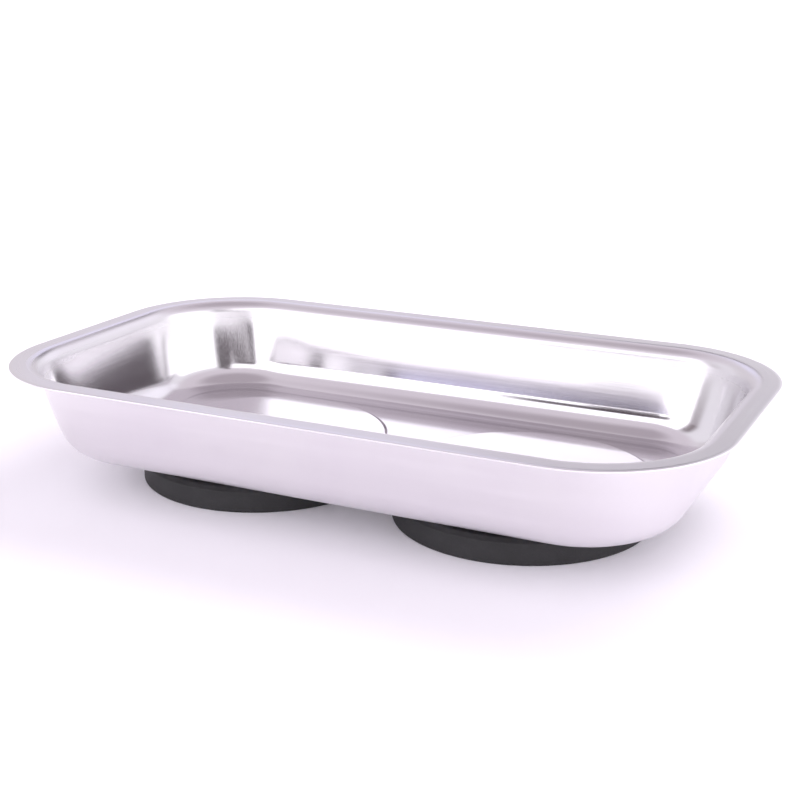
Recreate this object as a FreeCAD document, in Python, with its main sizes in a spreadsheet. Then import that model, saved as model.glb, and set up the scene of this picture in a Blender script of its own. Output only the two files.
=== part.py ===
import FreeCAD, Part
import math
import os

import Sketcher
from FreeCAD import Placement, Rotation, Vector

# Magnetic parts tray: a pressed stainless dish on two rubber covered ring magnets.
# Frame: +X along the tray, +Y across it, +Z up. The origin is on the bench,
# under the middle of the tray. Lengths are millimetres.

doc = FreeCAD.newDocument("parts_tray")

# ---------------------------------------------------------------- dimensions
sheet = doc.addObject("Spreadsheet::Sheet", "dims")
ROWS = [
    # name, value, what it is
    ("tray_length", 241.3, "over the rim, along X"),
    ("tray_width", 139.7, "over the rim, along Y"),
    ("rim_height", 43.7, "bench to the top of the rim"),
    ("sheet_gauge", 0.6, "stainless sheet"),
    ("rim_corner", 42.7, "plan radius of the rim's outer corners"),
    ("edge_turn_width", 1.4, "outer strip of the rim that turns down"),
    ("edge_turn_radius", 4.5, "radius of that turn, on its top face"),
    ("wall_slope", 0.2144, "inward run of the wall for each unit of drop"),
    ("wall_inset", 8.73, "rim edge to the wall's outer face, at rim height"),
    ("wall_gap", 0.614, "horizontal thickness of the sloping wall"),
    ("wall_corner_top", 33.0, "plan radius of the wall's outer face at the rim"),
    ("wall_corner_low", 32.5, "the same at the floor"),
    ("floor_under", 12.6, "bench to the underside of the floor"),
    ("bottom_radius", 11.85, "outer radius between wall and floor"),
    ("shoulder_radius", 5.0, "top face radius between rim and wall"),
    ("disc_radius", 42.8, "foot of the embossed disc's step"),
    ("disc_step", 1.2, "width of that step"),
    ("disc_rise", 0.85, "height of the embossed disc"),
    ("disc_soften", 1.1, "radius on both edges of the step"),
    ("foot_offset", 47.85, "tray centre to the centre of each foot"),
    ("boot_base_radius", 41.6, "rubber boot at the bench"),
    ("boot_side_radius", 41.4, "rubber boot under its chamfer"),
    ("boot_side_height", 7.0, "height of the boot's side"),
    ("boot_top_radius", 40.1, "rubber boot above its chamfer"),
    ("boot_height", 8.35, "height of the boot"),
    ("boot_skin", 1.2, "rubber under the magnet"),
    ("boot_lip_radius", 33.5, "opening in the top of the boot"),
    ("boot_hole_radius", 10.0, "opening in the underside of the boot"),
    ("boot_edge", 0.8, "radius on the boot's lower edge"),
    ("cup_radius", 38.0, "outside of the steel pot"),
    ("cup_gauge", 1.0, "sheet of the steel pot"),
    ("cup_top", 7.15, "bench to the back of the pot"),
    ("cup_edge", 1.0, "radius around the back of the pot"),
    ("magnet_radius", 36.8, "outside of the ring magnet"),
    ("magnet_bore", 11.0, "bore radius of the ring magnet"),
    ("magnet_chamfer", 0.5, "chamfer on the ring magnet's edges"),
    ("spacer_radius", 12.0, "outside of the spacer"),
    ("clear_bore", 2.7, "radius of the M5 clearance holes"),
    ("stud_radius", 2.5, "M5"),
    ("stud_end", 0.95, "bench to the lower end of the stud"),
    ("stud_flange_radius", 3.3, "weld flange"),
    ("stud_flange_height", 0.8, "weld flange"),
    ("thread_pitch", 0.8, "M5 coarse"),
    ("thread_depth", 0.42, "M5 coarse"),
    ("flange_room", 0.15, "air around the weld flange"),
    ("washer_radius", 5.0, "flat washer"),
    ("washer_gauge", 1.0, "flat washer"),
    ("lock_radius", 4.6, "split washer"),
    ("lock_gauge", 1.2, "split washer"),
    ("lock_slit", 0.6, "slit in the split washer"),
    ("nut_flats", 8.0, "across the flats"),
    ("nut_height", 2.7, "thin nut"),
    ("nut_crown", 0.32, "corner chamfer height"),
]
for index, (alias, value, note) in enumerate(ROWS, start=1):
    sheet.set("A%d" % index, alias)
    sheet.set("B%d" % index, str(value))
    sheet.set("C%d" % index, note)
    sheet.setAlias("B%d" % index, alias)
doc.recompute()


class Size:
    """A length together with the spreadsheet expression that drives it."""

    def __init__(self, text, value):
        self.text = text
        self.value = float(value)

    def join(self, sign, other, value):
        return Size("(%s %s %s)" % (self.text, sign, other.text), value)

    def __add__(self, other):
        other = as_size(other)
        return self.join("+", other, self.value + other.value)

    def __sub__(self, other):
        other = as_size(other)
        return self.join("-", other, self.value - other.value)

    def __mul__(self, other):
        other = as_size(other)
        return self.join("*", other, self.value * other.value)

    def __truediv__(self, other):
        other = as_size(other)
        return self.join("/", other, self.value / other.value)


def as_size(number):
    return number if isinstance(number, Size) else Size(repr(float(number)), number)


def dim(alias):
    return Size("dims." + alias, sheet.get(alias))


ZERO = as_size(0)
LENGTH, WIDTH, RIM = dim("tray_length"), dim("tray_width"), dim("rim_height")
GAUGE = dim("sheet_gauge")


# ------------------------------------------------------------------- helpers
def new_body(label, x=None, z=None):
    body = doc.addObject("PartDesign::Body", label)
    body.Label = label
    base = Vector(x.value if x else 0, 0, z.value if z else 0)
    body.Placement = Placement(base, Rotation())
    if x:
        body.setExpression(".Placement.Base.x", x.text)
    if z:
        body.setExpression(".Placement.Base.z", z.text)
    return body


def origin_plane(body, role):
    for feature in body.Origin.OriginFeatures:
        if feature.Role == role:
            return feature
    raise ValueError(role)


def new_sketch(body, name, role="XY_Plane", level=None, shift=None):
    """A sketch on one of the body's own planes. level lifts it off the plane
    and shift moves it along the sketch's first axis."""
    sketch = body.newObject("Sketcher::SketchObject", name)
    sketch.AttachmentSupport = [(origin_plane(body, role), "")]
    sketch.MapMode = "FlatFace"
    sketch.AttachmentOffset = Placement(
        Vector(shift.value if shift else 0, 0, level.value if level else 0), Rotation())
    if level:
        sketch.setExpression(".AttachmentOffset.Base.z", level.text)
    if shift:
        sketch.setExpression(".AttachmentOffset.Base.x", shift.text)
    return sketch


def bind(sketch, constraint, name, size):
    index = sketch.addConstraint(constraint)
    sketch.renameConstraint(index, name)
    sketch.setExpression("Constraints." + name, size.text)


def rounded_rectangle(sketch, length, width, corner):
    """Rounded rectangle about the sketch origin, tangent at every joint."""
    a, b, r = length.value / 2, width.value / 2, corner.value
    lines = [((a, -b + r), (a, b - r)), ((a - r, b), (-a + r, b)),
             ((-a, b - r), (-a, -b + r)), ((-a + r, -b), (a - r, -b))]
    centres = [((a - r, b - r), 0), ((-a + r, b - r), 90),
               ((-a + r, -b + r), 180), ((a - r, -b + r), 270)]
    for (start, end), (centre, turn) in zip(lines, centres):
        sketch.addGeometry(Part.LineSegment(Vector(*start, 0), Vector(*end, 0)), False)
        circle = Part.Circle(Vector(*centre, 0), Vector(0, 0, 1), r)
        sketch.addGeometry(Part.ArcOfCircle(circle, math.radians(turn), math.radians(turn + 90)), False)
    for k in range(4):
        line, arc, following = 2 * k, 2 * k + 1, (2 * k + 2) % 8
        sketch.addConstraint(Sketcher.Constraint("Tangent", line, 2, arc, 1))
        sketch.addConstraint(Sketcher.Constraint("Tangent", arc, 2, following, 1))
    for k, kind in ((0, "Vertical"), (2, "Horizontal"), (4, "Vertical"), (6, "Horizontal")):
        sketch.addConstraint(Sketcher.Constraint(kind, k))
    for k in (3, 5, 7):
        sketch.addConstraint(Sketcher.Constraint("Equal", 1, k))
    sketch.addConstraint(Sketcher.Constraint("Symmetric", 1, 3, 5, 3, -1, 1))
    bind(sketch, Sketcher.Constraint("Radius", 1, r), "corner", corner)
    bind(sketch, Sketcher.Constraint("DistanceX", 4, 1, 0, 1, 2 * a), "length", length)
    bind(sketch, Sketcher.Constraint("DistanceY", 6, 1, 2, 1, 2 * b), "width", width)


def outline(sketch, points):
    """Closed outline of straight edges. Each point is a pair of Sizes."""
    count = len(points)
    for k in range(count):
        start, end = points[k], points[(k + 1) % count]
        sketch.addGeometry(Part.LineSegment(
            Vector(start[0].value, start[1].value, 0), Vector(end[0].value, end[1].value, 0)), False)
    for k in range(count):
        sketch.addConstraint(Sketcher.Constraint("Coincident", k, 2, (k + 1) % count, 1))
    for k, (across, up) in enumerate(points):
        pin(sketch, k, 1, "p%d" % k, across, up)


def pin(sketch, geometry, vertex, name, across, up):
    """Hold one vertex at a distance across and up from the sketch origin."""
    if abs(across.value) < 1e-9:
        sketch.addConstraint(Sketcher.Constraint("PointOnObject", geometry, vertex, -2))
    else:
        bind(sketch, Sketcher.Constraint("DistanceX", -1, 1, geometry, vertex, across.value),
             name + "_across", across)
    if abs(up.value) < 1e-9:
        sketch.addConstraint(Sketcher.Constraint("PointOnObject", geometry, vertex, -1))
    else:
        bind(sketch, Sketcher.Constraint("DistanceY", -1, 1, geometry, vertex, up.value),
             name + "_up", up)


def ring(sketch, outer, inner=None):
    for k, radius in enumerate(r for r in (outer, inner) if r):
        sketch.addGeometry(Part.Circle(Vector(0, 0, 0), Vector(0, 0, 1), radius.value), False)
        sketch.addConstraint(Sketcher.Constraint("Coincident", k, 3, -1, 1))
        bind(sketch, Sketcher.Constraint("Radius", k, radius.value), "radius%d" % k, radius)


def pad(body, name, sketch, height):
    feature = body.newObject("PartDesign::Pad", name)
    feature.Profile = sketch
    feature.Length = height.value
    feature.setExpression("Length", height.text)
    doc.recompute()
    return feature


def loft(body, kind, name, first, second):
    feature = body.newObject("PartDesign::" + kind, name)
    feature.Profile = first
    feature.Sections = [second]
    feature.Ruled = True
    doc.recompute()
    return feature


def revolve(body, kind, name, sketch):
    """Full turn about the sketch's second axis."""
    feature = body.newObject("PartDesign::" + kind, name)
    feature.Profile = sketch
    feature.ReferenceAxis = (sketch, ["V_Axis"])
    feature.Angle = 360.0
    doc.recompute()
    return feature


def edges_where(feature, test):
    names = []
    for number, edge in enumerate(feature.Shape.Edges, start=1):
        box = edge.BoundBox
        if test(edge, box):
            names.append("Edge%d" % number)
    if not names:
        raise ValueError("no edge found on " + feature.Name)
    return names


def fillet(body, name, base, names, radius):
    feature = body.newObject("PartDesign::Fillet", name)
    feature.Base = (base, names)
    feature.Radius = radius.value
    feature.setExpression("Radius", radius.text)
    doc.recompute()
    return feature


def level_edges(height, inside=None, outside=None, tolerance=0.02):
    """Picks level edges at one height, by how far they reach in X."""
    def test(edge, box):
        if abs(box.ZMin - height) > tolerance or abs(box.ZMax - height) > tolerance:
            return False
        middle = edge.valueAt((edge.FirstParameter + edge.LastParameter) / 2)
        reach = rim_inset(middle)
        if inside is not None and reach < inside:
            return False
        return outside is None or reach <= outside
    return test


def rim_inset(point):
    """Distance from a point inward to the rim's outline, in plan."""
    a, b, r = LENGTH.value / 2, WIDTH.value / 2, dim("rim_corner").value
    dx, dy = abs(point.x) - (a - r), abs(point.y) - (b - r)
    if dx > 0 and dy > 0:
        return r - math.hypot(dx, dy)
    return min(a - abs(point.x), b - abs(point.y))


def round_edges(radius, height, tolerance=0.02):
    """Picks whole circles of one radius at one height about a vertical axis."""
    def test(edge, box):
        curve = edge.Curve
        return (isinstance(curve, Part.Circle) and abs(curve.Radius - radius) < tolerance
                and abs(curve.Center.z - height) < tolerance)
    return test


# ----------------------------------------------------------------- tray body
# One pressed piece: rim with an outer strip turned slightly down, rolled
# shoulder, sloping wall, large bottom radius, flat floor, two embossed discs.
tray = new_body("tray_body")
turn_width, turn_radius = dim("edge_turn_width"), dim("edge_turn_radius")
plate_sketch = new_sketch(tray, "rim_plate_outline", level=RIM - GAUGE)
rounded_rectangle(plate_sketch, LENGTH - turn_width * 2, WIDTH - turn_width * 2,
                  dim("rim_corner") - turn_width)
plate = pad(tray, "rim_plate", plate_sketch, GAUGE)

# The turned strip: an arc section carried around the rim.
path = new_sketch(tray, "rim_path", level=RIM - GAUGE)
rounded_rectangle(path, LENGTH - turn_width * 2, WIDTH - turn_width * 2,
                  dim("rim_corner") - turn_width)
strip = new_sketch(tray, "edge_turn_section", role="XZ_Plane")
inner_x = LENGTH / 2 - turn_width
angle = math.asin(turn_width.value / turn_radius.value)
centre = Vector(inner_x.value, RIM.value - turn_radius.value, 0)
low_radius = turn_radius - GAUGE
top_arc = Part.ArcOfCircle(Part.Circle(centre, Vector(0, 0, 1), turn_radius.value),
                           math.pi / 2 - angle, math.pi / 2)
low_arc = Part.ArcOfCircle(Part.Circle(centre, Vector(0, 0, 1), low_radius.value),
                           math.pi / 2 - angle, math.pi / 2)
strip.addGeometry(top_arc, False)
strip.addGeometry(low_arc, False)
strip.addGeometry(Part.LineSegment(top_arc.EndPoint, low_arc.EndPoint), False)
strip.addGeometry(Part.LineSegment(low_arc.StartPoint, top_arc.StartPoint), False)
strip.addConstraint(Sketcher.Constraint("Coincident", 0, 2, 2, 1))
strip.addConstraint(Sketcher.Constraint("Coincident", 1, 2, 2, 2))
strip.addConstraint(Sketcher.Constraint("Coincident", 1, 1, 3, 1))
strip.addConstraint(Sketcher.Constraint("Coincident", 0, 1, 3, 2))
strip.addConstraint(Sketcher.Constraint("Coincident", 0, 3, 1, 3))
strip.addConstraint(Sketcher.Constraint("PointOnObject", 0, 3, 3))
strip.addConstraint(Sketcher.Constraint("Vertical", 2))
pin(strip, 0, 3, "turn_centre", inner_x, RIM - turn_radius)
bind(strip, Sketcher.Constraint("Radius", 0, turn_radius.value), "top_radius", turn_radius)
bind(strip, Sketcher.Constraint("Radius", 1, low_radius.value), "low_radius", low_radius)
bind(strip, Sketcher.Constraint("DistanceX", -1, 1, 0, 1, LENGTH.value / 2), "reach", LENGTH / 2)
turned = tray.newObject("PartDesign::AdditivePipe", "edge_turn")
turned.Profile = strip
turned.Spine = (path, ["Edge%d" % k for k in range(1, 9)])
turned.Mode = "Frenet"
doc.recompute()

# Outer form of the dish, from rim height down to the underside of the floor.
inset, slope, gap = dim("wall_inset"), dim("wall_slope"), dim("wall_gap")
floor_under = dim("floor_under")
floor_top = floor_under + GAUGE
low_inset = inset + (RIM - floor_under) * slope
form_top = new_sketch(tray, "wall_outline_top", level=RIM)
rounded_rectangle(form_top, LENGTH - inset * 2, WIDTH - inset * 2, dim("wall_corner_top"))
form_low = new_sketch(tray, "wall_outline_low", level=floor_under)
rounded_rectangle(form_low, LENGTH - low_inset * 2, WIDTH - low_inset * 2, dim("wall_corner_low"))
form = loft(tray, "AdditiveLoft", "wall_form", form_top, form_low)

# Hollow of the dish, one sheet thickness inside.
hollow_inset = inset + gap
hollow_low_inset = hollow_inset + (RIM - floor_top) * slope
hollow_top = new_sketch(tray, "hollow_outline_top", level=RIM)
rounded_rectangle(hollow_top, LENGTH - hollow_inset * 2, WIDTH - hollow_inset * 2,
                  dim("wall_corner_top") - GAUGE)
hollow_low = new_sketch(tray, "hollow_outline_low", level=floor_top)
rounded_rectangle(hollow_low, LENGTH - hollow_low_inset * 2, WIDTH - hollow_low_inset * 2,
                  dim("wall_corner_low") - GAUGE)
hollow = loft(tray, "SubtractiveLoft", "hollow", hollow_top, hollow_low)

bottom_radius, shoulder_radius = dim("bottom_radius"), dim("shoulder_radius")
inner_bottom = fillet(tray, "inner_bottom_radius", hollow,
                      edges_where(hollow, level_edges(floor_top.value)), bottom_radius - GAUGE)
outer_bottom = fillet(tray, "outer_bottom_radius", inner_bottom,
                      edges_where(inner_bottom, level_edges(floor_under.value)), bottom_radius)
under_shoulder = fillet(tray, "under_shoulder_radius", outer_bottom,
                        edges_where(outer_bottom, level_edges(RIM.value - GAUGE.value, inside=4.0)),
                        shoulder_radius - GAUGE)
top_shoulder = fillet(tray, "top_shoulder_radius", under_shoulder,
                      edges_where(under_shoulder, level_edges(RIM.value, inside=4.0)),
                      shoulder_radius)

# Embossed discs over the feet: raised above, hollow below.
foot_offset = dim("foot_offset")
disc_radius, disc_step, disc_rise = dim("disc_radius"), dim("disc_step"), dim("disc_rise")
raised_sketch = new_sketch(tray, "disc_section", role="XZ_Plane", shift=foot_offset)
outline(raised_sketch, [(ZERO, floor_top), (disc_radius, floor_top),
                        (disc_radius - disc_step, floor_top + disc_rise),
                        (ZERO, floor_top + disc_rise)])
raised = revolve(tray, "Revolution", "disc_raised", raised_sketch)
under_sketch = new_sketch(tray, "disc_hollow_section", role="XZ_Plane", shift=foot_offset)
outline(under_sketch, [(ZERO, floor_under), (disc_radius - 0.2, floor_under),
                       (disc_radius - disc_step - 0.2, floor_under + disc_rise),
                       (ZERO, floor_under + disc_rise)])
before = raised.Shape.Volume
under = revolve(tray, "Groove", "disc_hollow", under_sketch)
print("disc hollow removes", round(before - under.Shape.Volume, 1), "mm3")
pair = tray.newObject("PartDesign::Mirrored", "second_disc")
pair.Originals = [raised, under]
pair.MirrorPlane = (origin_plane(tray, "YZ_Plane"), [""])
tray.Tip = pair
doc.recompute()
soften = dim("disc_soften")
edges = []
for radius, height in ((disc_radius, floor_top), (disc_radius - disc_step, floor_top + disc_rise),
                       (disc_radius - 0.2, floor_under),
                       (disc_radius - disc_step - 0.2, floor_under + disc_rise)):
    edges += edges_where(pair, round_edges(radius.value, height.value))
softened = fillet(tray, "disc_edges", pair, edges, soften)

# ---------------------------------------------------------------------- feet
cup_top, cup_gauge = dim("cup_top"), dim("cup_gauge")
boot_skin, boot_height = dim("boot_skin"), dim("boot_height")
clear_bore, stud_radius = dim("clear_bore"), dim("stud_radius")
disc_under = floor_under + disc_rise
washer_top = cup_top - cup_gauge
lock_top = washer_top - dim("washer_gauge")
nut_top = lock_top - dim("lock_gauge")


def rubber_boot(label, x):
    """Moulded cover: side, chamfer, inward top lip, skin with a centre hole."""
    body = new_body(label, x)
    section = new_sketch(body, label + "_section", role="XZ_Plane")
    hole, cup = dim("boot_hole_radius"), dim("cup_radius")
    base, side = dim("boot_base_radius"), dim("boot_side_radius")
    outline(section, [(hole, ZERO), (base, ZERO), (side, dim("boot_side_height")),
                      (dim("boot_top_radius"), boot_height), (dim("boot_lip_radius"), boot_height),
                      (dim("boot_lip_radius"), cup_top), (cup, cup_top), (cup, boot_skin),
                      (hole, boot_skin)])
    solid = revolve(body, "Revolution", label + "_turned", section)
    lower = fillet(body, label + "_lower_edge", solid,
                   edges_where(solid, round_edges(base.value, 0.0)), dim("boot_edge"))
    fillet(body, label + "_hole_edge", lower,
           edges_where(lower, round_edges(hole.value, 0.0)), dim("boot_edge") / 2)
    upper = body.Tip
    fillet(body, label + "_chamfer_edges", upper,
           edges_where(upper, round_edges(side.value, dim("boot_side_height").value))
           + edges_where(upper, round_edges(dim("boot_top_radius").value, boot_height.value)),
           dim("boot_edge") / 2)
    return body


def magnet_cup(label, x):
    """Drawn steel pot, open downward, with a clearance hole in its back."""
    body = new_body(label, x)
    section = new_sketch(body, label + "_section", role="XZ_Plane")
    cup = dim("cup_radius")
    outline(section, [(clear_bore, washer_top), (cup - cup_gauge, washer_top),
                      (cup - cup_gauge, boot_skin), (cup, boot_skin), (cup, cup_top),
                      (clear_bore, cup_top)])
    solid = revolve(body, "Revolution", label + "_turned", section)
    fillet(body, label + "_back_edge", solid,
           edges_where(solid, round_edges(cup.value, cup_top.value)), dim("cup_edge"))
    return body


def ring_magnet(label, x):
    body = new_body(label, x)
    section = new_sketch(body, label + "_plan", level=boot_skin)
    ring(section, dim("magnet_radius"), dim("magnet_bore"))
    solid = pad(body, label + "_blank", section, washer_top - boot_skin)
    chamfer = body.newObject("PartDesign::Chamfer", label + "_edges")
    chamfer.Base = (solid, edges_where(solid, lambda e, b: isinstance(e.Curve, Part.Circle)))
    chamfer.Size = dim("magnet_chamfer").value
    chamfer.setExpression("Size", dim("magnet_chamfer").text)
    doc.recompute()
    return body


def spacer(label, x):
    """Ring between pot and floor, counterbored for the stud's weld flange."""
    body = new_body(label, x)
    section = new_sketch(body, label + "_section", role="XZ_Plane")
    outer = dim("spacer_radius")
    seat = dim("stud_flange_radius") + dim("flange_room")
    seat_low = disc_under - dim("stud_flange_height") - dim("flange_room")
    outline(section, [(clear_bore, cup_top), (outer, cup_top), (outer, disc_under),
                      (seat, disc_under), (seat, seat_low), (clear_bore, seat_low)])
    solid = revolve(body, "Revolution", label + "_turned", section)
    return body


def weld_stud(label, x):
    """Threaded stud with a weld flange, chamfered at its lower end."""
    body = new_body(label, x)
    section = new_sketch(body, label + "_section", role="XZ_Plane")
    flange, low = dim("stud_flange_radius"), dim("stud_end")
    flange_low = disc_under - dim("stud_flange_height")
    outline(section, [(ZERO, low), (stud_radius - 0.45, low), (stud_radius, low + 0.45),
                      (stud_radius, flange_low), (flange, flange_low), (flange, disc_under),
                      (ZERO, disc_under)])
    solid = revolve(body, "Revolution", label + "_turned", section)
    # Thread: one V groove, repeated at the pitch.
    pitch, depth = dim("thread_pitch"), dim("thread_depth")
    vee = new_sketch(body, label + "_thread_section", role="XZ_Plane")
    first = low + 0.9
    outline(vee, [(stud_radius - depth, first), (stud_radius + 0.05, first - pitch * 0.45),
                  (stud_radius + 0.05, first + pitch * 0.45)])
    groove = revolve(body, "Groove", label + "_thread", vee)
    pattern = body.newObject("PartDesign::LinearPattern", label + "_threads")
    pattern.Originals = [groove]
    pattern.Direction = (origin_axis(body, "Z_Axis"), [""])
    pattern.Occurrences = 13
    pattern.Length = 12 * pitch.value
    pattern.setExpression("Length", (pitch * 12).text)
    body.Tip = pattern
    doc.recompute()
    return body


def origin_axis(body, role):
    return origin_plane(body, role)


def flat_washer(label, x):
    body = new_body(label, x)
    section = new_sketch(body, label + "_plan", level=lock_top)
    ring(section, dim("washer_radius"), clear_bore)
    solid = pad(body, label + "_blank", section, dim("washer_gauge"))
    fillet(body, label + "_edge", solid,
           edges_where(solid, round_edges(dim("washer_radius").value, lock_top.value)),
           dim("washer_gauge") * 0.2)
    return body


def lock_washer(label, x):
    """Split ring, tightened flat, with a slanting slit."""
    body = new_body(label, x)
    section = new_sketch(body, label + "_plan", level=nut_top)
    ring(section, dim("lock_radius"), clear_bore)
    solid = pad(body, label + "_blank", section, dim("lock_gauge"))
    slit = new_sketch(body, label + "_slit_section", role="XZ_Plane")
    half, lean = dim("lock_slit") / 2, dim("lock_slit")
    outline(slit, [(as_size(0) - half - lean, nut_top - 0.1), (half - lean, nut_top - 0.1),
                   (half + lean, lock_top + 0.1), (lean - half, lock_top + 0.1)])
    cut = body.newObject("PartDesign::Pocket", label + "_slit")
    cut.Profile = slit
    cut.Length = 10.0
    before = solid.Shape.Volume
    doc.recompute()
    if before - cut.Shape.Volume < 0.5:
        cut.Reversed = True
        doc.recompute()
    print(label, "slit removes", round(before - cut.Shape.Volume, 2), "mm3")
    return body


def hex_nut(label, x):
    """Thin hexagon nut, both faces crowned, bored for the stud."""
    body = new_body(label, x)
    plan = new_sketch(body, label + "_plan", level=nut_top - dim("nut_height"))
    reach = dim("nut_flats").value / math.sqrt(3)
    corners = [Vector(reach * math.cos(math.radians(60 * k)), reach * math.sin(math.radians(60 * k)), 0)
               for k in range(6)]
    for k in range(6):
        plan.addGeometry(Part.LineSegment(corners[k], corners[(k + 1) % 6]), False)
    for k in range(6):
        plan.addConstraint(Sketcher.Constraint("Coincident", k, 2, (k + 1) % 6, 1))
    plan.addGeometry(Part.Circle(Vector(0, 0, 0), Vector(0, 0, 1), reach), True)
    plan.addConstraint(Sketcher.Constraint("Coincident", 6, 3, -1, 1))
    for k in range(6):
        plan.addConstraint(Sketcher.Constraint("PointOnObject", k, 1, 6))
    for k in range(1, 6):
        plan.addConstraint(Sketcher.Constraint("Equal", 0, k))
    plan.addConstraint(Sketcher.Constraint("PointOnObject", 0, 1, -1))
    bind(plan, Sketcher.Constraint("Radius", 6, reach), "reach", dim("nut_flats") / math.sqrt(3))
    plan.addGeometry(Part.Circle(Vector(0, 0, 0), Vector(0, 0, 1), stud_radius.value), False)
    plan.addConstraint(Sketcher.Constraint("Coincident", 7, 3, -1, 1))
    bind(plan, Sketcher.Constraint("Radius", 7, stud_radius.value), "bore", stud_radius)
    blank = pad(body, label + "_blank", plan, dim("nut_height"))
    crown, flat = dim("nut_crown"), dim("nut_flats") / 2
    outer = dim("nut_flats") * 0.62
    section = new_sketch(body, label + "_crown_section", role="XZ_Plane")
    nut_low = nut_top - dim("nut_height")
    outline(section, [(flat * 0.98, nut_low), (outer, nut_low), (outer, nut_low + crown * 1.35)])
    low_cut = revolve(body, "Groove", label + "_low_crown", section)
    section2 = new_sketch(body, label + "_crown_section_top", role="XZ_Plane")
    outline(section2, [(flat * 0.98, nut_top), (outer, nut_top), (outer, nut_top - crown * 1.35)])
    revolve(body, "Groove", label + "_top_crown", section2)
    print(label, "crowns remove", round(blank.Shape.Volume - body.Tip.Shape.Volume, 2), "mm3")
    return body


bodies = [tray]
for side, x in (("left", ZERO - foot_offset), ("right", foot_offset)):
    for maker, noun in ((rubber_boot, "rubber_boot"), (magnet_cup, "magnet_cup"),
                        (ring_magnet, "ring_magnet"), (spacer, "spacer"),
                        (weld_stud, "weld_stud"), (flat_washer, "flat_washer"),
                        (lock_washer, "lock_washer"), (hex_nut, "hex_nut")):
        bodies.append(maker("%s_%s" % (side, noun), x))

# --------------------------------------------------------------- check, write
doc.recompute()
faults = []
for item in doc.Objects:
    if any(word in ("Invalid", "Error") for word in item.State):
        faults.append("%s is %s" % (item.Name, item.State))
for body in bodies:
    shape = body.Shape
    if shape.isNull() or not shape.isValid():
        faults.append("%s has no valid shape" % body.Label)
    elif len(shape.Solids) != 1:
        faults.append("%s has %d solids" % (body.Label, len(shape.Solids)))
if faults:
    raise RuntimeError("; ".join(faults))

os.makedirs("parts", exist_ok=True)
for body in bodies:
    box = body.Shape.BoundBox
    print("%-20s volume %9.1f  x %8.2f %8.2f  y %7.2f %7.2f  z %6.2f %6.2f" % (
        body.Label, body.Shape.Volume, box.XMin, box.XMax, box.YMin, box.YMax, box.ZMin, box.ZMax))
    body.Shape.exportStep("parts/%s.step" % body.Label)
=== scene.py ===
import math

import bpy
import numpy as np
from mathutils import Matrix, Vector
from mathutils.geometry import tessellate_polygon


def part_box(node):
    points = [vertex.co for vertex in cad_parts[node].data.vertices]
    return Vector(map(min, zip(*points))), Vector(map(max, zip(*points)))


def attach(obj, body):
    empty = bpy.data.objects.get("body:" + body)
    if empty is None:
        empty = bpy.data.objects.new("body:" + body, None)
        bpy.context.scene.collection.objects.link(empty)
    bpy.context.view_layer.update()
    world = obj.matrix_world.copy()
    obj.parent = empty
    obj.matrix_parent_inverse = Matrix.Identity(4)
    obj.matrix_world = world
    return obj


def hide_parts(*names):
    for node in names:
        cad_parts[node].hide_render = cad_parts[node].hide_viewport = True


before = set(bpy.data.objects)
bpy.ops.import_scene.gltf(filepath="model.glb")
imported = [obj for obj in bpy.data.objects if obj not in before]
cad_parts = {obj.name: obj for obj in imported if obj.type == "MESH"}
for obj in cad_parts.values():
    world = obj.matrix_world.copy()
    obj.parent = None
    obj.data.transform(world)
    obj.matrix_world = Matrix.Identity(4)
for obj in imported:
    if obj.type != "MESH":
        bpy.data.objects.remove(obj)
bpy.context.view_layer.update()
MM = 0.001

# ------------------------------------------------------------------ the frame
tray_low, tray_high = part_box("tray_body")
boot_low, boot_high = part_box("right_rubber_boot")
LENGTH = (tray_high.x - tray_low.x) / MM
WIDTH = (tray_high.y - tray_low.y) / MM
RIM = tray_high.z / MM
FLOOR_UNDER = tray_low.z / MM
FOOT_X = (boot_low.x + boot_high.x) / 2 / MM

GAUGE = 0.6
RIM_CORNER = 42.7
TURN_WIDTH, TURN_RADIUS = 1.4, 4.5
SLOPE, INSET, GAP = 0.2144, 8.73, 0.614
CORNER_TOP, CORNER_LOW = 33.0, 32.5
BOTTOM_RADIUS, SHOULDER_RADIUS = 11.85, 5.0
BOW_END, BOW_SIDE = math.radians(4.0), math.radians(0.2)
DISC_RADIUS, DISC_STEP, DISC_RISE, DISC_SOFT = 42.8, 1.2, 0.85, 1.1
FLOOR_TOP = FLOOR_UNDER + GAUGE


# ---------------------------------------------------------- pressed tray mesh
def outline(inset, corner, level):
    """A rounded rectangle in plan: half extents less the corner radius, the radius, the height."""
    return (LENGTH / 2 - inset - corner, WIDTH / 2 - inset - corner, corner, level)


def on_outline(shape, column):
    nx, ny, wx, wy = column
    cx, cy, r, z = shape
    return np.array([wx * cx + r * nx, wy * cy + r * ny, z])


def make_columns(corner_steps, long_steps, short_steps):
    """Directions around the tray: plan normal and the weights of the corner centre."""
    columns = []
    quarters = [(1, 1, 0), (-1, 1, 90), (-1, -1, 180), (1, -1, 270)]
    for number, (sx, sy, start) in enumerate(quarters):
        for k in range(corner_steps + 1):
            a = math.radians(start + 90 * k / corner_steps)
            columns.append((math.cos(a), math.sin(a), sx, sy))
        nx, ny, _, _ = columns[-1]
        nx, ny = round(nx), round(ny)
        steps = long_steps if number in (0, 2) else short_steps
        for k in range(1, steps):
            t = 1 - 2 * k / steps
            if number == 0:
                columns.append((0, 1, t, 1))
            elif number == 1:
                columns.append((-1, 0, -1, t))
            elif number == 2:
                columns.append((0, -1, -t, -1))
            else:
                columns.append((1, 0, 1, -t))
    return columns


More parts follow.
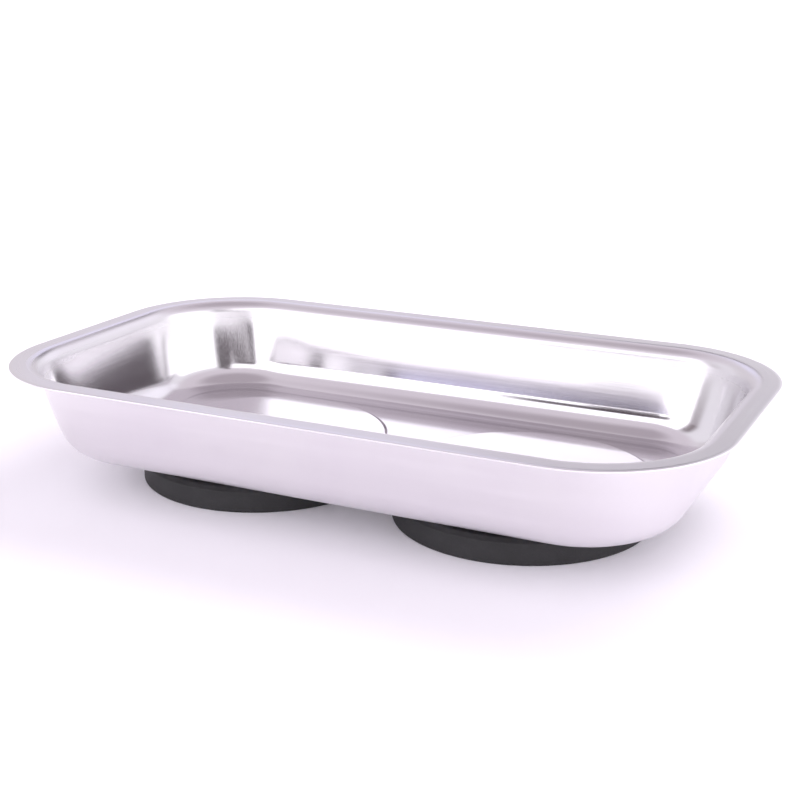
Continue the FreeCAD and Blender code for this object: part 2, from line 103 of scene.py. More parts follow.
def wall_section(column, top, low, bottom_radius, shoulder_radius, plate_level, steps):
    """Points and upward normals from the floor, up the wall, over the shoulder to the rim plate."""
    n = np.array([column[0], column[1], 0.0])
    up = np.array([0, 0, 1.0])
    head, foot = on_outline(top, column), on_outline(low, column)
    rise = head[2] - foot[2]
    run = float((head - foot) @ n)
    slope = math.atan2(run, rise)

    def ruling(z):
        return foot + (head - foot) * ((z - foot[2]) / rise)

    def normal(a):
        return -math.cos(a) * n + math.sin(a) * up

    # the drawn wall is very slightly bowed, a little steeper high up and more flared low down
    share = min(1.0, max(0.0, (abs(column[0]) - 0.15) / 0.5))
    bow = BOW_SIDE + (BOW_END - BOW_SIDE) * share * share * (3 - 2 * share)
    low_slope, high_slope = slope + bow, slope - bow
    points, normals = [], []
    fillet_steps, wall_steps, shoulder_steps = steps
    first = ruling(foot[2] + bottom_radius * (1 - math.sin(slope)))
    centre = first + bottom_radius * normal(slope)
    for k in range(fillet_steps + 1):
        a = math.pi / 2 + (low_slope - math.pi / 2) * k / fillet_steps
        points.append(centre - bottom_radius * normal(a))
        normals.append(normal(a))
    start = points[-1]
    last = ruling(plate_level - shoulder_radius * (1 - math.sin(slope)))
    centre = last - shoulder_radius * normal(slope)
    stop = centre + shoulder_radius * normal(high_slope)
    chord = float(np.linalg.norm(stop - start))
    for k in range(1, wall_steps):
        t = k / wall_steps
        a = low_slope + (high_slope - low_slope) * t
        points.append(start + (stop - start) * t - chord * bow * t * (1 - t) * normal(slope))
        normals.append(normal(a))
    for k in range(shoulder_steps + 1):
        a = high_slope + (math.pi / 2 - high_slope) * k / shoulder_steps
        points.append(centre + shoulder_radius * normal(a))
        normals.append(normal(a))
    return points, normals


def turned_strip(column, top_side, steps):
    """The rim's outer strip, turned slightly down, from its start to the cut edge."""
    n = np.array([column[0], column[1], 0.0])
    up = np.array([0, 0, 1.0])
    start = on_outline(outline(TURN_WIDTH, RIM_CORNER - TURN_WIDTH, RIM), column)
    centre = start - TURN_RADIUS * up
    full = math.asin(TURN_WIDTH / TURN_RADIUS)
    radius = TURN_RADIUS if top_side else TURN_RADIUS - GAUGE
    ease = 0.12
    points, normals = [], []
    stop = full - ease / TURN_RADIUS
    for k in range(steps + 1):
        a = stop * k / steps
        points.append(centre + radius * (math.sin(a) * n + math.cos(a) * up))
        normals.append(math.sin(a) * n + math.cos(a) * up)
    out = math.cos(full) * n - math.sin(full) * up
    over = math.sin(full) * n + math.cos(full) * up
    sign = 1 if top_side else -1
    corner = centre + radius * over
    round_centre = corner - ease * out - sign * ease * over
    for k in range(1, 4):
        a = math.pi / 2 * k / 3
        points.append(round_centre + ease * (math.sin(a) * out + sign * math.cos(a) * over))
        normals.append(sign * (math.sin(a) * out * sign + math.cos(a) * over))
    return points, normals


class Builder:
    """Collects vertices with their own normals and surface coordinates."""

    def __init__(self):
        self.points, self.normals, self.coords = [], [], []
        self.faces, self.regions = [], []

    def add(self, point, normal, coord):
        self.points.append(point)
        self.normals.append(normal)
        self.coords.append(coord)
        return len(self.points) - 1

    def quad_strip(self, first, second, region, closed=True, flip=False):
        count = len(first)
        for k in range(count if closed else count - 1):
            m = (k + 1) % count
            face = (first[k], first[m], second[m], second[k])
            self.faces.append(tuple(reversed(face)) if flip else face)
            self.regions.append(region)


def disc_profile(level, radius, step, rise, soft, segments):
    """Radius, height and slope of the embossed step, from the floor to the disc."""
    slope = math.atan2(rise, step)
    t = soft * math.tan(slope / 2)
    rows = []
    low = (radius + t, level + soft)
    for k in range(segments + 1):
        a = slope * k / segments
        rows.append((low[0] - soft * math.sin(a), low[1] - soft * math.cos(a), a))
    high = (radius - step - t, level + rise - soft)
    for k in range(segments + 1):
        a = slope * (1 - k / segments)
        rows.append((high[0] + soft * math.sin(a), high[1] + soft * math.cos(a), a))
    return rows


FLANGE, WALL, FLOOR, DISC, EDGE, UNDER = range(6)


def build_tray():
    made = Builder()
    columns = make_columns(44, 60, 30)
    count = len(columns)
    steps = (18, 10, 14)
    hollow_inset = INSET + GAP
    hollow_top = outline(hollow_inset, CORNER_TOP - GAUGE, RIM)
    hollow_low = outline(hollow_inset + (RIM - FLOOR_TOP) * SLOPE, CORNER_LOW - GAUGE, FLOOR_TOP)
    form_top = outline(INSET, CORNER_TOP, RIM)
    form_low = outline(INSET + (RIM - FLOOR_UNDER) * SLOPE, CORNER_LOW, FLOOR_UNDER)

    # distance travelled around the wall, for the brushed grain
    ring = [on_outline(hollow_top, c) for c in columns]
    around = [0.0]
    for k in range(count):
        around.append(around[-1] + float(np.linalg.norm(ring[(k + 1) % count] - ring[k])))

    def rows_of(side_top):
        rows = None
        for k, column in enumerate(columns):
            if side_top:
                points, normals = wall_section(column, hollow_top, hollow_low,
                                               BOTTOM_RADIUS - GAUGE, SHOULDER_RADIUS, RIM, steps)
                sign = 1
            else:
                points, normals = wall_section(column, form_top, form_low,
                                               BOTTOM_RADIUS, SHOULDER_RADIUS - GAUGE, RIM - GAUGE, steps)
                sign = -1
            strip_points, strip_normals = turned_strip(column, side_top, 6)
            middle = (points[-1] + strip_points[0]) / 2
            points = points + [middle] + strip_points
            strip_normals = [v if side_top else v * -1 for v in strip_normals]
            if not side_top:
                # the rounded corner of the cut edge already faces outward
                strip_normals[7:] = [v * -1 for v in strip_normals[7:]]
            normals = [v * sign for v in normals] + [np.array([0, 0, float(sign)])] + strip_normals
            if rows is None:
                rows = [[] for _ in points]
            along = 0.0
            for j, (point, normal) in enumerate(zip(points, normals)):
                if j:
                    along += float(np.linalg.norm(points[j] - points[j - 1]))
                rows[j].append(made.add(point, normal, (around[k], along)))
        return rows

    top_rows = rows_of(True)
    low_rows = rows_of(False)
    wall_rows = sum(steps[:2])
    # a pressed sheet eases from flat to curved, so the shading does too
    for row in top_rows[:sum(steps) + 1] + low_rows[:sum(steps) + 1]:
        eased = np.array([made.normals[i] for i in row])
        for repeat in range(3):
            eased = (np.roll(eased, 2, 0) + 2 * np.roll(eased, 1, 0) + 3 * eased
                     + 2 * np.roll(eased, -1, 0) + np.roll(eased, -2, 0)) / 9
        for i, normal in zip(row, eased):
            made.normals[i] = normal
    for j in range(len(top_rows) - 1):
        region = WALL if j < wall_rows else FLANGE
        if j >= len(top_rows) - 4:
            region = EDGE
        made.quad_strip(top_rows[j], top_rows[j + 1], region, flip=True)
    for j in range(len(low_rows) - 1):
        region = EDGE if j >= len(low_rows) - 4 else UNDER
        made.quad_strip(low_rows[j], low_rows[j + 1], region)
    made.quad_strip(top_rows[-1], low_rows[-1], EDGE, flip=True)

    # floor plates with their embossed discs
    around_disc = 160
    for side_top in (True, False):
        level = FLOOR_TOP if side_top else FLOOR_UNDER
        sign = 1.0 if side_top else -1.0
        radius = DISC_RADIUS if side_top else DISC_RADIUS - 0.2
        border = (top_rows if side_top else low_rows)[0]
        loops = [border]
        profile = disc_profile(level, radius, DISC_STEP, DISC_RISE, DISC_SOFT, 5)
        for centre in (-FOOT_X, FOOT_X):
            previous = None
            for r, z, slope in profile + [(30.0, profile[-1][1], 0.0), (18.0, profile[-1][1], 0.0),
                                          (7.0, profile[-1][1], 0.0)]:
                circle = []
                for k in range(around_disc):
                    a = 2 * math.pi * k / around_disc
                    out = np.array([math.cos(a), math.sin(a), 0.0])
                    point = np.array([centre, 0, z]) + r * out
                    normal = sign * (math.sin(slope) * out + math.cos(slope) * np.array([0, 0, 1.0]))
                    circle.append(made.add(point, normal, (point[0], point[1])))
                if previous is None:
                    loops.append(circle)
                else:
                    region = (DISC if r < radius - DISC_STEP + 0.5 else FLOOR) if side_top else UNDER
                    made.quad_strip(previous, circle, region, flip=not side_top)
                previous = circle
            hub = made.add(np.array([centre, 0, profile[-1][1]]), np.array([0, 0, sign]), (centre, 0.0))
            for k in range(around_disc):
                face = (previous[k], previous[(k + 1) % around_disc], hub)
                made.faces.append(face if side_top else tuple(reversed(face)))
                made.regions.append(DISC if side_top else UNDER)
        flat = [i for loop in loops for i in loop]
        fill = tessellate_polygon([[Vector((made.points[i][0], made.points[i][1], 0)) for i in loop]
                                   for loop in loops])
        for a, b, c in fill:
            ia, ib, ic = flat[a], flat[b], flat[c]
            pa, pb, pc = (made.points[i] for i in (ia, ib, ic))
            turn = (pb[0] - pa[0]) * (pc[1] - pa[1]) - (pb[1] - pa[1]) * (pc[0] - pa[0])
            if (turn > 0) != side_top:
                ib, ic = ic, ib
            made.faces.append((ia, ib, ic))
            made.regions.append(FLOOR if side_top else UNDER)

    mesh = bpy.data.meshes.new("pressed_tray")
    mesh.from_pydata([tuple(p * MM) for p in made.points], [], made.faces)
    mesh.polygons.foreach_set("material_index", made.regions)
    mesh.polygons.foreach_set("use_smooth", [True] * len(made.faces))
    grain = mesh.uv_layers.new(name="grain")
    coords = np.array(made.coords)
    loops = np.zeros(len(mesh.loops), np.int32)
    mesh.loops.foreach_get("vertex_index", loops)
    uv = coords[loops]
    # close the seam where the distance around the wall starts again
    total = around[-1]
    seam_faces = [i for i, f in enumerate(made.faces)
                  if made.regions[i] in (FLANGE, WALL, EDGE, UNDER)
                  and max(made.coords[v][0] for v in f) - min(made.coords[v][0] for v in f) > total / 2]
    for i in seam_faces:
        for l in mesh.polygons[i].loop_indices:
            if uv[l][0] < total / 2:
                uv[l][0] += total
    grain.data.foreach_set("uv", uv.astype(np.float32).ravel() * MM)
    mesh.validate(clean_customdata=False)
    normals = [tuple(v / np.linalg.norm(v)) for v in made.normals]
    mesh.normals_split_custom_set_from_vertices(normals)
    mesh.update()
    obj = bpy.data.objects.new("pressed_tray", mesh)
    bpy.context.scene.collection.objects.link(obj)
    return obj


tray = build_tray()

# --------------------------------------------------------------------- camera
camera_data = bpy.data.cameras.new("view_camera")
camera_data.sensor_width = 36.0
camera_data.lens = 36.0 * 1376.785 / 800.0
camera_data.clip_start, camera_data.clip_end = 0.01, 50.0
camera = bpy.data.objects.new("view_camera", camera_data)
camera.location = (0.193227, -0.386707, 0.164069)
camera.rotation_euler = (math.pi / 2 - 0.297, 0.0, 0.454)
bpy.context.scene.collection.objects.link(camera)
bpy.context.scene.camera = camera

# ------------------------------------------------------------- material tools
class Graph:
    """Small helper for node trees; every call returns an output socket."""

    def __init__(self, tree):
        self.tree = tree
        tree.nodes.clear()

    def node(self, kind, **settings):
        made = self.tree.nodes.new("ShaderNode" + kind)
        for key, value in settings.items():
            setattr(made, key, value)
        return made

    def put(self, socket, value):
        if isinstance(value, bpy.types.NodeSocket):
            self.tree.links.new(value, socket)
        elif socket.type == "RGBA" and not isinstance(value, (int, float)):
            socket.default_value = (*value[:3], 1.0)
        elif socket.type == "RGBA":
            socket.default_value = (value, value, value, 1.0)
        else:
            socket.default_value = value

    def math(self, operation, *values, clamp=False):
        made = self.node("Math", operation=operation, use_clamp=clamp)
        for socket, value in zip(made.inputs, values):
            self.put(socket, value)
        return made.outputs[0]

    def span(self, value, low, high, out_low=0.0, out_high=1.0, smooth=False):
        made = self.node("MapRange", interpolation_type="SMOOTHSTEP" if smooth else "LINEAR", clamp=True)
        for key, v in (("Value", value), ("From Min", low), ("From Max", high),
                       ("To Min", out_low), ("To Max", out_high)):
            self.put(made.inputs[key], v)
        return made.outputs["Result"]

    def mix(self, factor, first, second, blend="MIX"):
        made = self.node("Mix", data_type="RGBA", blend_type=blend, clamp_factor=True)
        self.put(made.inputs["Factor"], factor)
        self.put(made.inputs[6], first)
        self.put(made.inputs[7], second)
        return made.outputs[2]

    def place(self, vector, scale=(1, 1, 1), offset=(0, 0, 0), turn=(0, 0, 0)):
        made = self.node("Mapping")
        self.put(made.inputs["Vector"], vector)
        made.inputs["Scale"].default_value = scale
        made.inputs["Location"].default_value = offset
        made.inputs["Rotation"].default_value = turn
        return made.outputs["Vector"]

    def noise(self, vector, scale, detail=3.0, rough=0.5, distortion=0.0):
        made = self.node("TexNoise", noise_dimensions="3D")
        self.put(made.inputs["Vector"], vector)
        made.inputs["Scale"].default_value = scale
        made.inputs["Detail"].default_value = detail
        made.inputs["Roughness"].default_value = rough
        made.inputs["Distortion"].default_value = distortion
        return made.outputs["Fac"] if "Fac" in made.outputs else made.outputs[0]

    def cells(self, vector, scale, feature="F1", what="Distance", randomness=1.0):
        made = self.node("TexVoronoi", feature=feature)
        self.put(made.inputs["Vector"], vector)
        made.inputs["Scale"].default_value = scale
        made.inputs["Randomness"].default_value = randomness
        return made.outputs[what]

    def object_place(self):
        return self.node("TexCoord").outputs["Object"]

    def grain(self):
        return self.node("UVMap", uv_map="grain").outputs["UV"]

    def split(self, vector):
        made = self.node("SeparateXYZ")
        self.put(made.inputs[0], vector)
        return made.outputs[0], made.outputs[1], made.outputs[2]

    def bump(self, height, distance, strength=1.0, normal=None):
        made = self.node("Bump")
        made.inputs["Strength"].default_value = strength
        made.inputs["Distance"].default_value = distance
        self.put(made.inputs["Height"], height)
        if normal is not None:
            self.put(made.inputs["Normal"], normal)
        return made.outputs["Normal"]

    def surface(self, **values):
        shader = self.node("BsdfPrincipled")
        for key, value in values.items():
            self.put(shader.inputs[key.replace("_", " ")], value)
        out = self.node("OutputMaterial")
        self.tree.links.new(shader.outputs[0], out.inputs["Surface"])
        return shader


def new_material(name):
    material = bpy.data.materials.new(name)
    material.use_nodes = True
    return material, Graph(material.node_tree)


# ------------------------------------------------------------ stainless finish
def steel(name, base, rough, kind):
    """Satin stainless sheet. kind sets which way the polishing lines and the draw marks run."""
    material, g = new_material(name)
    at = g.object_place()
    uv = g.grain()
    x, y, z = g.split(at)
    # polishing lines: very long in one direction, hair-fine in the other
    if kind in ("floor", "disc", "under"):
        lines_a = g.noise(g.place(at, scale=(26, 2100, 600)), 1.0, 3.0, 0.62)
        lines_b = g.noise(g.place(at, scale=(7, 520, 200)), 1.0, 2.0, 0.5)
        cross = g.noise(g.place(at, scale=(1600, 34, 300)), 1.0, 2.0, 0.5)
    else:
        lines_a = g.noise(g.place(uv, scale=(24, 2600, 1)), 1.0, 3.0, 0.62)
        lines_b = g.noise(g.place(uv, scale=(6, 640, 1)), 1.0, 2.0, 0.5)
        cross = g.noise(g.place(uv, scale=(1500, 30, 1)), 1.0, 2.0, 0.5)
    broad = g.noise(at, 26.0, 3.0, 0.55, 0.3)
    cloud = g.noise(at, 9.0, 2.0, 0.5)
    lines = g.math("ADD", g.math("MULTIPLY", lines_a, 0.6), g.math("MULTIPLY", lines_b, 0.4))
    if kind == "wall":
        # corners carry upright draw marks, the long sides carry lengthwise polishing
        ax = g.math("ABSOLUTE", x)
        ay = g.math("ABSOLUTE", y)
        corner = g.math("MULTIPLY", g.span(ax, 0.066, 0.084, smooth=True), g.span(ay, 0.012, 0.030, smooth=True))
        weave = g.math("MULTIPLY", g.math("ADD", g.noise(g.place(uv, scale=(2300, 520, 1), turn=(0, 0, 0.75)), 1.0, 2.0),
                                         g.noise(g.place(uv, scale=(2100, 700, 1), turn=(0, 0, -0.6)), 1.0, 2.0)), 0.5)
        lines = g.math("ADD", g.math("MULTIPLY", lines, g.math("SUBTRACT", 1.0, corner)),
                       g.math("MULTIPLY", g.math("ADD", g.math("MULTIPLY", weave, 0.8),
                                                 g.math("MULTIPLY", cross, 0.2)), corner))
        rough = g.math("ADD", g.math("MULTIPLY", corner, 0.03), rough)
        rough = g.math("ADD", rough, g.span(z, 0.0335, 0.0396, 0.0, 0.17, smooth=True))
    # scattered hairline scratches
    scratch_place = g.place(at, scale=(1, 1, 1), turn=(0.2, 0.3, 0.9))
    s1 = g.cells(g.place(scratch_place, scale=(30, 1500, 300)), 1.0, "F1", "Distance")
    s2 = g.cells(g.place(at, scale=(900, 22, 260), turn=(0.1, 0, 0.5)), 1.0, "F1", "Distance")
    scratch = g.math("MAXIMUM", g.span(s1, 0.07, 0.02), g.span(s2, 0.06, 0.02))
    scratch = g.math("MULTIPLY", scratch, g.span(g.noise(at, 60.0, 2.0), 0.5, 0.62))
    tint = g.mix(g.span(broad, 0.35, 0.7), base, tuple(c * k for c, k in zip(base, (0.965, 0.955, 0.975))))
    tint = g.mix(g.math("MULTIPLY", g.span(lines, 0.35, 0.65), 0.10), tint, tuple(min(1, c * 1.10) for c in base))
    tint = g.mix(g.math("MULTIPLY", scratch, 0.25), tint, tuple(min(1, c * 1.15) for c in base))
    r = g.math("ADD", rough, g.math("MULTIPLY", g.math("SUBTRACT", lines, 0.5), 0.20))
    r = g.math("ADD", r, g.math("MULTIPLY", g.math("SUBTRACT", cloud, 0.5), 0.07))
    r = g.math("ADD", r, g.math("MULTIPLY", scratch, 0.10), clamp=True)
    height = g.math("ADD", g.math("MULTIPLY", lines, 1.0), g.math("MULTIPLY", scratch, -0.5))
    normal = g.bump(height, 0.0000060, 0.6)
    if kind == "under":
        # the drawn outside is very slightly wavy along its length
        wave = g.noise(g.place(uv, scale=(7, 95, 1)), 1.0, 2.0, 0.45)
        normal = g.bump(wave, 0.00050, 1.0, normal)
    tangent = g.node("Tangent", direction_type="UV_MAP", uv_map="grain")
    shader = g.surface(Base_Color=tint, Metallic=1.0, Roughness=r, Normal=normal)
    shader.inputs["Anisotropic"].default_value = 0.3
    g.tree.links.new(tangent.outputs[0], shader.inputs["Tangent"])
    return material, g, shader, tint


# order follows FLANGE, WALL, FLOOR, DISC, EDGE, UNDER
STEEL = (0.775, 0.765, 0.780)
finishes = [
    steel("steel_flange", STEEL, 0.30, "flange")[0],
    steel("steel_wall", STEEL, 0.108, "wall")[0],
    steel("steel_floor", STEEL, 0.14, "floor")[0],
    steel("steel_disc", STEEL, 0.12, "disc")[0],
    # the cut edge uses a paler copy of the same steel: a painted highlight along the edge
    steel("steel_edge", (0.95, 0.94, 0.95), 0.20, "edge")[0],
    # the outside and underside use a paler copy of the same steel: painted light that brightens their reflections
    steel("steel_under", (0.81, 0.788, 0.806), 0.33, "under")[0],
]
for material in finishes:
    tray.data.materials.append(material)


# --------------------------------------------------------------- moulded rubber
def rubber(name, base, rough, grain_size, low, high):
    """Matt rubber with a moulded grain and paler dusty patches, paler along the bottom edge, and a painted highlight
    along the top edge.
    """
    material, g = new_material(name)
    at = g.object_place()
    x, y, z = g.split(at)
    grain = g.noise(at, 1.0 / grain_size, 3.0, 0.65)
    pebble = g.cells(at, 0.8 / grain_size, "F1", "Distance")
    blotch = g.noise(at, 120.0, 4.0, 0.6, 0.4)
    dust = g.span(blotch, 0.48, 0.72)
    # painted highlight: the band along the top edge, where the chamfer faces the light, is made paler in patches
    top_edge_highlight = g.span(z, high - 0.0016, high - 0.0003, smooth=True)
    foot = g.span(z, low + 0.0009, low + 0.0001, smooth=True)
    pale = tuple(c * 2.6 + 0.006 for c in base)
    colour = g.mix(g.math("MULTIPLY", dust, 0.45), base, pale)
    colour = g.mix(g.math("MULTIPLY", top_edge_highlight, g.span(blotch, 0.35, 0.6, 0.15, 0.65)), colour, pale)
    colour = g.mix(g.math("MULTIPLY", foot, 0.35), colour, pale)
    r = g.math("ADD", rough, g.math("MULTIPLY", g.math("SUBTRACT", grain, 0.5), 0.22))
    r = g.math("ADD", r, g.math("MULTIPLY", dust, 0.10), clamp=True)
    normal = g.bump(grain, 0.00016, 0.8)
    normal = g.bump(pebble, 0.00006, 0.6, normal)
    g.surface(Base_Color=colour, Metallic=0.0, Roughness=r, Normal=normal)
    return material


# ---------------------------------------------------------------- plated steel
def plated(name, base, warm, rough, grain_size, turned=False, dirt=0.35, centre=(0, 0)):
    """Plated steel: crystalline spangle, handling marks, dull dirt in patches."""
    material, g = new_material(name)
    at = g.object_place()
    spangle = g.cells(at, 1.0 / grain_size, "F1", "Color")
    flake = g.split(spangle)[0]
    fine = g.noise(at, 3.2 / grain_size, 3.0, 0.6)
    patch = g.noise(at, 170.0, 4.0, 0.6, 0.6)
    colour = g.mix(g.math("MULTIPLY", flake, 0.35), base, warm)
    colour = g.mix(g.math("MULTIPLY", g.span(patch, 0.5, 0.75), dirt), colour, tuple(c * 0.42 for c in base))
    r = g.math("ADD", rough, g.math("MULTIPLY", g.math("SUBTRACT", flake, 0.5), 0.14))
    r = g.math("ADD", r, g.math("MULTIPLY", g.span(patch, 0.45, 0.8), 0.22), clamp=True)
    normal = g.bump(fine, 0.00003, 0.5)
    if turned:
        # fine turning or stamping lines around the piece's own axis
        x, y, z = g.split(g.place(at, offset=(-centre[0], -centre[1], 0)))
        radius = g.math("SQRT", g.math("ADD", g.math("MULTIPLY", x, x), g.math("MULTIPLY", y, y)))
        rings = g.math("SINE", g.math("MULTIPLY", radius, 2 * math.pi / 0.00032))
        wobble = g.noise(at, 300.0, 2.0)
        normal = g.bump(g.math("MULTIPLY", rings, wobble), 0.000006, 0.7, normal)
    g.surface(Base_Color=colour, Metallic=1.0, Roughness=r, Normal=normal)
    return material


def ferrite(name, base):
    """Sintered magnet: matt charcoal, gritty, with small pale chips."""
    material, g = new_material(name)
    at = g.object_place()
    grit = g.noise(at, 2400.0, 4.0, 0.7)
    patch = g.noise(at, 140.0, 4.0, 0.6)
    chip = g.span(g.cells(at, 420.0, "F1", "Distance"), 0.22, 0.10)
    chip = g.math("MULTIPLY", chip, g.span(patch, 0.5, 0.62))
    colour = g.mix(g.span(patch, 0.35, 0.7), base, tuple(c * 1.7 for c in base))
    colour = g.mix(g.math("MULTIPLY", chip, 0.6), colour, tuple(c * 3.2 for c in base))
    r = g.math("ADD", 0.56, g.math("MULTIPLY", g.math("SUBTRACT", grit, 0.5), 0.25), clamp=True)
    normal = g.bump(grit, 0.00007, 0.8)
    normal = g.bump(g.math("MULTIPLY", chip, -1.0), 0.00015, 0.6, normal)
    g.surface(Base_Color=colour, Metallic=0.0, Roughness=r, Normal=normal)
    return material


def dress(node, material):
    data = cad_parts[node].data
    data.materials.clear()
    data.materials.append(material)


for side, sign in (("left", -1), ("right", 1)):
    hub = (sign * FOOT_X * MM, 0.0)
    dress(side + "_rubber_boot", rubber("boot_rubber_" + side, (0.0135, 0.0132, 0.0142), 0.62, 0.00042,
                                        boot_low.z, boot_high.z))
    dress(side + "_magnet_cup", plated("pot_steel_" + side, (0.60, 0.60, 0.61), (0.66, 0.63, 0.55), 0.36,
                                       0.0016, True, 0.45, hub))
    dress(side + "_ring_magnet", ferrite("ferrite_" + side, (0.045, 0.044, 0.046)))
    spacer_low, spacer_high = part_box(side + "_spacer")
    dress(side + "_spacer", rubber("spacer_rubber_" + side, (0.020, 0.0195, 0.0205), 0.70, 0.00030,
                                   spacer_low.z, spacer_high.z))
    dress(side + "_weld_stud", plated("stud_steel_" + side, (0.71, 0.42, 0.29), (0.74, 0.55, 0.42), 0.34,
                                      0.0009, False, 0.35, hub))
    dress(side + "_flat_washer", plated("flat_zinc_" + side, (0.66, 0.67, 0.69), (0.70, 0.68, 0.60), 0.28,
                                        0.0012, True, 0.25, hub))
    dress(side + "_lock_washer", plated("spring_zinc_" + side, (0.40, 0.40, 0.42), (0.46, 0.44, 0.40), 0.42,
                                        0.0008, True, 0.45, hub))
    dress(side + "_hex_nut", plated("nut_zinc_" + side, (0.64, 0.65, 0.68), (0.70, 0.69, 0.62), 0.30,
                                    0.0011, True, 0.30, hub))

# ----------------------------------------------------------------------- studio
scene = bpy.context.scene
scene.view_settings.view_transform = "Standard"
scene.view_settings.look = "None"
scene.view_settings.exposure = 0.0
scene.view_settings.gamma = 1.0


def studio_world():
    """A white cyclorama room: pale all round, duller overhead, with a few dark gaps between the screens."""
    world = bpy.data.worlds.new("studio_room")
    scene.world = world
    world.use_nodes = True
    g = Graph(world.node_tree)
    direction = g.node("TexCoord").outputs["Generated"]
    dx, dy, dz = g.split(direction)
    az = g.math("MULTIPLY", g.math("ARCTAN2", dx, dy), 180 / math.pi)
    el = g.math("MULTIPLY", g.math("ARCSINE", dz), 180 / math.pi)

    def window(az0, az1, el0, el1, soft_az, soft_el):
        middle = (az0 + az1) / 2
        half = (az1 - az0) / 2
        turned = g.node("Math", operation="WRAP")
        g.put(turned.inputs[0], g.math("SUBTRACT", az, middle))
        turned.inputs[1].default_value = 180.0
        turned.inputs[2].default_value = -180.0
        across = g.span(g.math("ABSOLUTE", turned.outputs[0]), half - soft_az / 2, half + soft_az / 2, 1, 0, True)
        tall = g.math("ABSOLUTE", g.math("SUBTRACT", el, (el0 + el1) / 2))
        upright = g.span(tall, (el1 - el0) / 2 - soft_el / 2, (el1 - el0) / 2 + soft_el / 2, 1, 0, True)
        return g.math("MULTIPLY", across, upright)

    colour = g.mix(g.span(el, 36, 50, smooth=True), (1.01, 0.97, 1.04), (0.82, 0.74, 0.82))
    colour = g.mix(g.span(el, 57, 72, smooth=True), colour, (0.52, 0.455, 0.51))
    # each: azimuth span, elevation span, softness, colour, strength
    for lobe in LOBES:
        az0, az1, el0, el1, soft_az, soft_el, tone, strength = lobe
        colour = g.mix(g.math("MULTIPLY", window(az0, az1, el0, el1, soft_az, soft_el), strength), colour, tone)
    back = g.node("Background")
    g.put(back.inputs["Color"], colour)
    back.inputs["Strength"].default_value = 1.0
    out = g.node("OutputWorld")
    g.tree.links.new(back.outputs[0], out.inputs["Surface"])


LOBES = [
    # pale screens of slightly different brightness, and two darker gaps
    (-76, -14, -10, 42, 10, 12, (0.84, 0.785, 0.84), 1.0),
    (2, 30, 12, 42, 10, 8, (1.22, 1.17, 1.28), 1.0),
    (60, 136, -10, 34, 10, 8, (1.95, 1.90, 1.98), 1.0),
    (134, 182, -10, 43, 8, 6, (1.60, 1.53, 1.62), 1.0),
    (134, 182, -10, 18, 8, 8, (1.95, 1.87, 1.98), 1.0),
    (-182, -122, 10, 43.5, 6, 4, (2.00, 1.94, 2.08), 1.0),
    (-182, -122, -10, 24, 6, 10, (2.40, 2.32, 2.46), 1.0),
    (-121, -107, 9, 40, 7, 14, (0.27, 0.22, 0.24), 0.95),
    (-40, -22, 24, 35, 3, 5, (1.22, 1.20, 1.62), 0.85),
    (-21, -4, 24, 38, 2, 4, (0.06, 0.05, 0.07), 0.98),
]
studio_world()


def studio_flag(name, y, x_span, z_span, make_mask):
    """A soft-edged dark cloth that a polished tray mirrors; only reflections see it."""
    mesh = bpy.data.meshes.new(name)
    (x0, x1), (z0, z1) = x_span, z_span
    mesh.from_pydata([(x0, y, z0), (x1, y, z0), (x1, y, z1), (x0, y, z1)], [], [(0, 1, 2, 3)])
    obj = bpy.data.objects.new(name, mesh)
    scene.collection.objects.link(obj)
    material, g = new_material(name + "_cloth")
    x, y_unused, z = g.split(g.object_place())
    cloth = g.node("Emission")
    g.put(cloth.inputs["Color"], (0.075, 0.054, 0.066))
    clear = g.node("BsdfTransparent")
    choose = g.node("MixShader")
    g.tree.links.new(g.math("MULTIPLY", make_mask(g, x, z), 0.96), choose.inputs[0])
    g.tree.links.new(clear.outputs[0], choose.inputs[1])
    g.tree.links.new(cloth.outputs[0], choose.inputs[2])
    out = g.node("OutputMaterial")
    g.tree.links.new(choose.outputs[0], out.inputs["Surface"])
    mesh.materials.append(material)
    obj.visible_camera = obj.visible_diffuse = obj.visible_shadow = obj.visible_transmission = False


def near_mask(g, x, z):
    lower = g.math("ADD", g.math("MULTIPLY", g.math("MAXIMUM", x, 0.0), 0.17),
                   g.math("ADD", g.math("MULTIPLY", g.math("MINIMUM", x, 0.0), 0.16), 0.0925))
    upper = g.span(x, 0.06, 0.10, 0.138, 0.330, smooth=True)
    rise = g.math("SUBTRACT", z, lower)
    drop = g.math("SUBTRACT", upper, z)
    wide = g.math("MULTIPLY", g.span(x, -0.090, -0.050, smooth=True), g.span(x, 0.262, 0.200, smooth=True))
    return g.math("MULTIPLY", wide, g.math("MULTIPLY", g.span(rise, -0.011, 0.016, smooth=True),
                                           g.span(drop, -0.012, 0.014, smooth=True)))


def side_mask(g, x, z):
    wide = g.math("MULTIPLY", g.span(x, -0.072, -0.056, smooth=True), g.span(x, -0.012, -0.024, smooth=True))
    low = g.math("MULTIPLY", g.math("MULTIPLY", g.span(z, 0.086, 0.073, smooth=True), g.span(z, 0.050, 0.060)), 0.75)
    high = g.math("MULTIPLY", g.span(z, 0.090, 0.102, smooth=True), g.span(z, 0.220, 0.180, smooth=True))
    return g.math("MULTIPLY", wide, g.math("MAXIMUM", low, high))


studio_flag("near_flag", -0.16, (-0.12, 0.27), (0.07, 0.35), near_mask)
studio_flag("side_flag", -0.30, (-0.09, 0.0), (0.045, 0.23), side_mask)


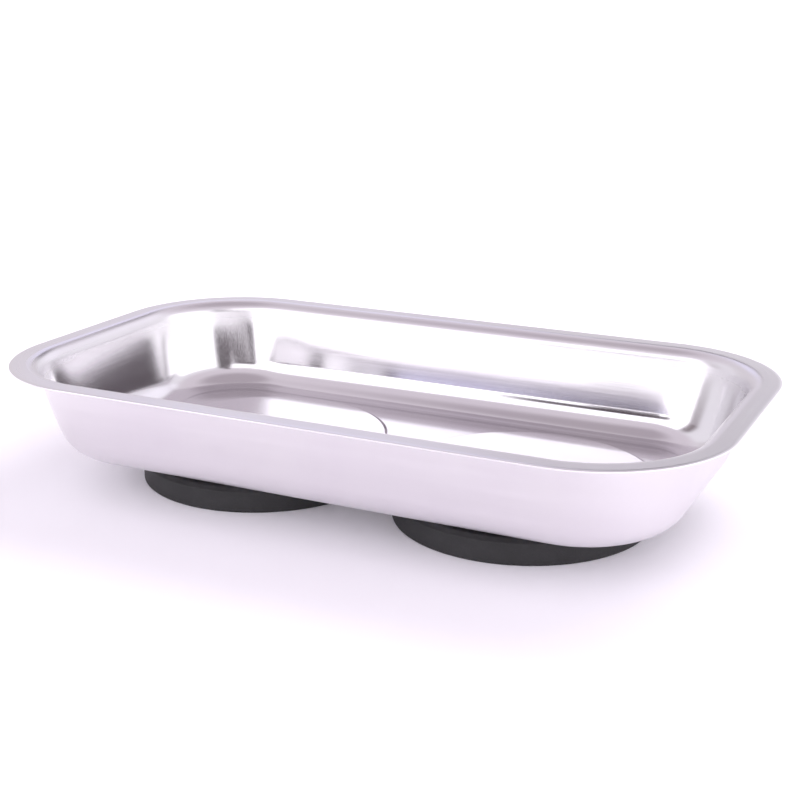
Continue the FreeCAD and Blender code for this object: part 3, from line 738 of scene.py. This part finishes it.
def studio_floor():
    """A pale paper floor, open from beneath, so that the underside can be looked at; it gives off light, less of it
    near the tray: painted light, with painted shade around the tray.
    """
    mesh = bpy.data.meshes.new("paper_floor")
    rings = [0.0, 0.10, 0.2, 0.4, 0.8, 1.6, 4.0, 12.0]
    points, faces = [(0, 0, 0)], []
    n = 96
    for r in rings[1:]:
        points += [(r * math.cos(2 * math.pi * k / n), r * math.sin(2 * math.pi * k / n), 0) for k in range(n)]
    for k in range(n):
        faces.append((0, 1 + k, 1 + (k + 1) % n))
    for j in range(len(rings) - 2):
        a, b = 1 + j * n, 1 + (j + 1) * n
        for k in range(n):
            faces.append((a + k, b + k, b + (k + 1) % n, a + (k + 1) % n))
    mesh.from_pydata(points, [], faces)
    obj = bpy.data.objects.new("paper_floor", mesh)
    obj.location.z = frame_floor - 0.00002
    scene.collection.objects.link(obj)
    material, g = new_material("floor_paper")
    at = g.object_place()
    x, y, z = g.split(at)
    away = g.math("SQRT", g.math("ADD", g.math("MULTIPLY", x, x), g.math("MULTIPLY", y, y)))
    # painted shade: colour and emitted light both fall off towards the tray, so the floor is darker close to it
    shade_falloff = g.span(away, 0.12, 0.36, smooth=True)
    colour = g.mix(shade_falloff, (0.945, 0.93, 0.968), (0.955, 0.95, 0.965))
    paper = g.node("BsdfDiffuse")
    g.put(paper.inputs["Color"], colour)
    painted_glow = g.node("Emission")
    g.put(painted_glow.inputs["Color"], (0.98, 0.97, 1.0))
    g.put(painted_glow.inputs["Strength"], g.math("ADD", g.math("MULTIPLY", shade_falloff, 0.27), 0.05))
    both = g.node("AddShader")
    g.tree.links.new(paper.outputs[0], both.inputs[0])
    g.tree.links.new(painted_glow.outputs[0], both.inputs[1])
    clear = g.node("BsdfTransparent")
    choose = g.node("MixShader")
    g.tree.links.new(g.node("NewGeometry").outputs["Backfacing"], choose.inputs[0])
    g.tree.links.new(both.outputs[0], choose.inputs[1])
    g.tree.links.new(clear.outputs[0], choose.inputs[2])
    out = g.node("OutputMaterial")
    g.tree.links.new(choose.outputs[0], out.inputs["Surface"])
    mesh.materials.append(material)


def studio_key():
    """One broad soft light from behind on the right; it shapes the shadow, and nothing mirrors it."""
    lamp = bpy.data.lights.new("studio_key", "AREA")
    lamp.shape = "RECTANGLE"
    lamp.size, lamp.size_y = 0.9, 0.6
    lamp.energy = 4.7
    lamp.color = (1.0, 0.985, 1.0)
    obj = bpy.data.objects.new("studio_key", lamp)
    obj.location = (0.30, 0.58, 1.0)
    obj.rotation_euler = (-Vector(obj.location)).to_track_quat("-Z", "Y").to_euler()
    obj.visible_glossy = False
    scene.collection.objects.link(obj)


frame_floor = min(boot_low.z, 0.0)
studio_floor()
studio_key()


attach(tray, "root")
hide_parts("tray_body")
